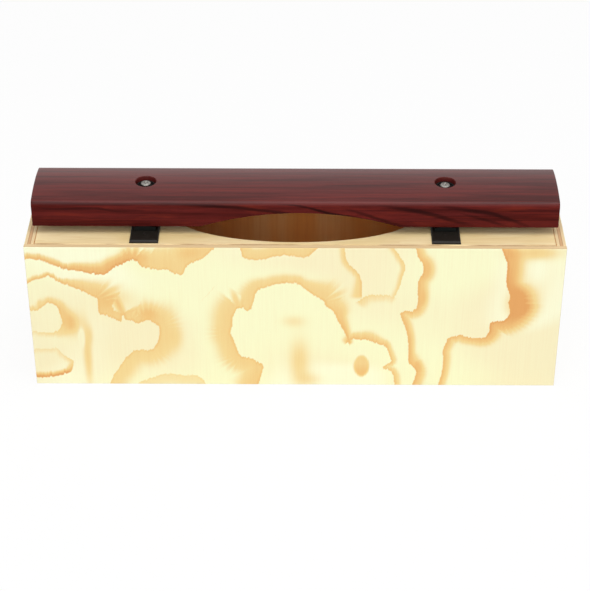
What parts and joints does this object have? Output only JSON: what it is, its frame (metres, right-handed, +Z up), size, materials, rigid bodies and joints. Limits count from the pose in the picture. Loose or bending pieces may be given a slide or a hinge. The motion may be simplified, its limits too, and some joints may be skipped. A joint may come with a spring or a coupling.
{
  "type": "chime bar",
  "caption": "Tuned wooden bar with a crowned top, held over a plywood resonator box with an oval sound hole; struck with a mallet.",
  "frame": {"origin": "on the surface that the box stands on, under the middle of the box", "axes": "+X along the bar to the viewer's right, +Y from the front panel to the back panel, +Z up"},
  "size_m": [0.4564, 0.102, 0.1781],
  "materials": {
    "plywood": "clear matt lacquer on pine-faced plywood",
    "top_board": "smooth sanded, clear matt lacquer",
    "batten": "sawn, unfinished",
    "support_plate": "moulded, satin black",
    "bar_rest": "matt black",
    "nail": "blackened",
    "bar_screw": "dull zinc-plated",
    "rosewood": "oiled, satin sheen",
    "bush": "matt black"
  },
  "bodies": {
    "resonator": {"front_panel": "plywood", "back_panel": "plywood", "left_end_panel": "plywood", "right_end_panel": "plywood", "bottom_board": "plywood", "top_board": "top_board", "left_screw_batten": "batten", "right_screw_batten": "batten", "left_support_plate": "support_plate", "right_support_plate": "support_plate", "left_bar_rest": "bar_rest", "right_bar_rest": "bar_rest", "left_front_nail": "nail", "left_back_nail": "nail", "right_front_nail": "nail", "right_back_nail": "nail", "left_bar_screw": "bar_screw", "right_bar_screw": "bar_screw"},
    "bar": {"sound_bar": "rosewood", "left_bush": "bush", "right_bush": "bush"}
  },
  "joints": [
    {"name": "bar_lift", "type": "slide", "parent": "resonator", "child": "bar", "axis": [0, 0, 1], "range_m": [0, 0.001]}
  ]
}
